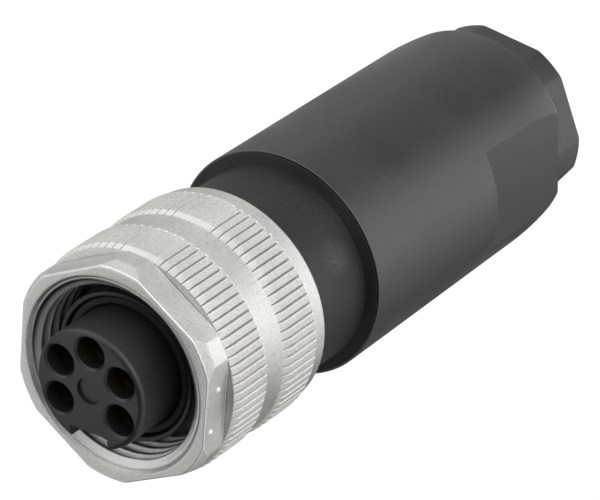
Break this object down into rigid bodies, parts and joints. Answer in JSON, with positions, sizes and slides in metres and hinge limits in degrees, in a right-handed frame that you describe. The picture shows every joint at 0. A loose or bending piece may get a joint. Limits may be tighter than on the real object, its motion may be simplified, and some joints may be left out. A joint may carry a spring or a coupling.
{
  "type": "circular plug connector",
  "caption": "Circular cable connector with a keyed female insert, knurled hexagonal coupling nut, long screwed back shell and a cable gland.",
  "frame": {"origin": "centre of the gland nut's flat rear face", "axes": "+Z along the connector's axis, towards the mating face; -Y towards the keyway of the insert"},
  "size_m": [0.0278, 0.0278, 0.0823],
  "materials": {
    "nut_metal": "satin nickel plate on cast metal",
    "shell_plastic": "satin moulded",
    "insert_plastic": "matt moulded",
    "washer_plastic": "smooth",
    "seal_rubber": "matt",
    "contact_metal": "plated",
    "screw_metal": "plated"
  },
  "bodies": {
    "housing": {"front_housing": "shell_plastic", "retaining_collar": "shell_plastic", "face_seal": "seal_rubber", "contact_carrier": "insert_plastic", "lock_ring": "washer_plastic", "shell_seal": "seal_rubber", "contact_socket_1": "contact_metal", "contact_socket_2": "contact_metal", "contact_socket_3": "contact_metal", "contact_socket_4": "contact_metal", "contact_socket_5": "contact_metal", "terminal_screw_1": "screw_metal", "terminal_screw_2": "screw_metal", "terminal_screw_3": "screw_metal", "terminal_screw_4": "screw_metal", "terminal_screw_5": "screw_metal"},
    "nut_carriage": {"thrust_washer": "washer_plastic"},
    "coupling_nut": {"coupling_nut": "nut_metal"},
    "cable_stack": {"cable_seal": "seal_rubber", "clamp_cage": "washer_plastic"},
    "back_shell": {"back_shell": "shell_plastic"},
    "gland_carriage": {"friction_washer": "washer_plastic"},
    "gland_nut": {"gland_nut": "shell_plastic"}
  },
  "joints": [
    {"name": "nut_slide", "type": "slide", "parent": "housing", "child": "nut_carriage", "axis": [0, 0, 1], "range_m": [0, 0.0039]},
    {"name": "nut_turn", "type": "hinge", "parent": "nut_carriage", "child": "coupling_nut", "pos_m": [0, 0, 0.065], "axis": [0, 0, 1], "continuous": true},
    {"name": "shell_travel", "type": "slide", "parent": "housing", "child": "cable_stack", "axis": [0, 0, 1], "range_m": [-0.0046, 0]},
    {"name": "shell_turn", "type": "hinge", "parent": "cable_stack", "child": "back_shell", "pos_m": [0, 0, 0.026], "axis": [0, 0, 1], "range_deg": [-1080, 0]},
    {"name": "gland_travel", "type": "slide", "parent": "back_shell", "child": "gland_carriage", "axis": [0, 0, 1], "range_m": [-0.0046, 0]},
    {"name": "gland_turn", "type": "hinge", "parent": "gland_carriage", "child": "gland_nut", "pos_m": [0, 0, 0.006], "axis": [0, 0, 1], "range_deg": [-1080, 0]}
  ],
  "couplings": [
    {"joint": "shell_travel", "follows": "shell_turn", "m_per_rad": 0.00023873},
    {"joint": "gland_travel", "follows": "gland_turn", "m_per_rad": 0.00023873}
  ]
}
